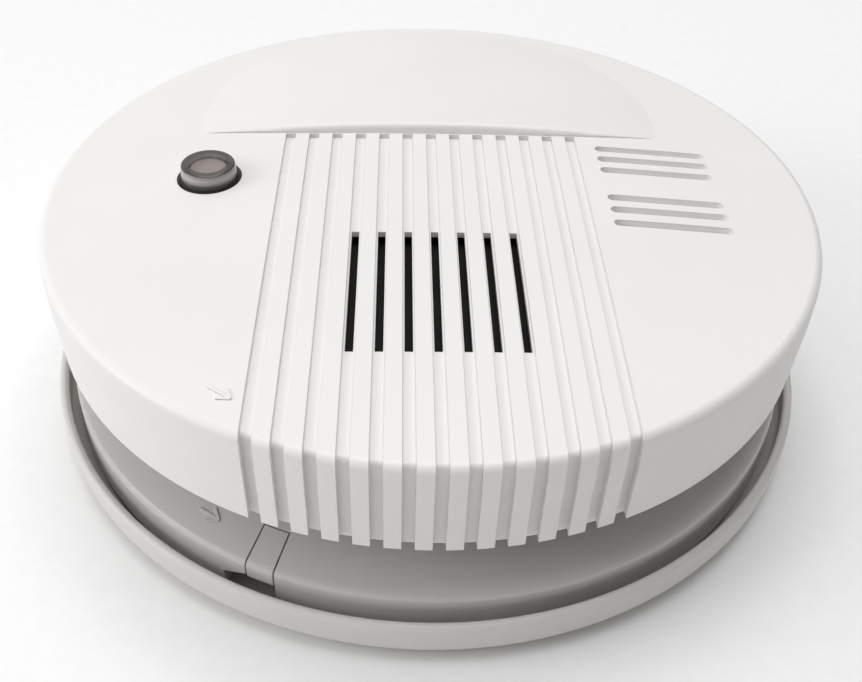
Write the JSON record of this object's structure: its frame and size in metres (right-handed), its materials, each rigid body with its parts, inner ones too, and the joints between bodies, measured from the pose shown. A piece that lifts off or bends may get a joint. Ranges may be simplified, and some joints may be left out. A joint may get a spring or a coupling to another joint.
{
  "type": "smoke detector",
  "caption": "Round battery smoke alarm: ribbed white cover with smoke slots and test button over a grey head on a twist-off mounting plate.",
  "frame": {"origin": "centre of the mounting plate's back face", "axes": "+Z out of the back face through the cover, along the head's turning axis; +Y towards the raised rear of the cover; ribs run along Y and the release key is at -Y"},
  "size_m": [0.146, 0.146, 0.0457],
  "materials": {
    "plate_plastic": "satin moulded light grey plastic",
    "chassis_plastic": "satin moulded grey plastic",
    "cover_plastic": "satin moulded white plastic",
    "lens_clear": "smoked clear plastic",
    "plunger_plastic": "pale translucent plastic",
    "spring_steel": "drawn spring wire",
    "switch_body": "black moulded plastic",
    "led_red": "tinted clear resin",
    "board_green": "solder-resist on glass laminate",
    "screw_steel": "plated steel",
    "chip_black": "moulded resin package",
    "can_sleeve": "sleeved aluminium can",
    "resistor_body": "coated body",
    "chamber_black": "matt black light-absorbing plastic",
    "screen_steel": "perforated strip",
    "emitter_clear": "clear resin package",
    "diode_dark": "dark tinted resin package",
    "sounder_plastic": "moulded plastic",
    "disc_brass": "brass sheet",
    "contact_brass": "turned brass",
    "battery_case": "painted metal jacket"
  },
  "bodies": {
    "base": {"mounting_plate": "plate_plastic"},
    "head": {"chassis": "chassis_plastic", "front_cover": "cover_plastic", "button_spring": "spring_steel", "test_switch": "switch_body", "indicator_led": "led_red", "key_spring": "spring_steel", "circuit_board": "board_green", "board_screws": "screw_steel", "alarm_chip": "chip_black", "capacitors": "can_sleeve", "resistors": "resistor_body", "chamber_base": "chamber_black", "chamber_labyrinth": "chamber_black", "chamber_lid": "chamber_black", "insect_screen": "screen_steel", "ir_emitter": "emitter_clear", "photodiode": "diode_dark", "sounder_housing": "sounder_plastic", "sounder_disc": "disc_brass", "sounder_contacts": "contact_brass", "battery": "battery_case", "battery_door": "chassis_plastic"},
    "test_button": {"test_button_lens": "lens_clear", "button_plunger": "plunger_plastic"},
    "release_key": {"release_key": "chassis_plastic"}
  },
  "joints": [
    {"name": "head_twist", "type": "hinge", "parent": "base", "child": "head", "pos_m": [0, 0, 0], "axis": [0, 0, 1], "range_deg": [0, 15]},
    {"name": "test_press", "type": "slide", "parent": "head", "child": "test_button", "axis": [0, 0, -1], "range_m": [0, 0.001], "stiffness_N_per_m": 600, "springref_m": -0.001, "deforming": ["button_spring"]},
    {"name": "key_press", "type": "slide", "parent": "head", "child": "release_key", "axis": [0, 0, -1], "range_m": [0, 0.0012], "stiffness_N_per_m": 300, "springref_m": -0.001, "deforming": ["key_spring"]}
  ]
}
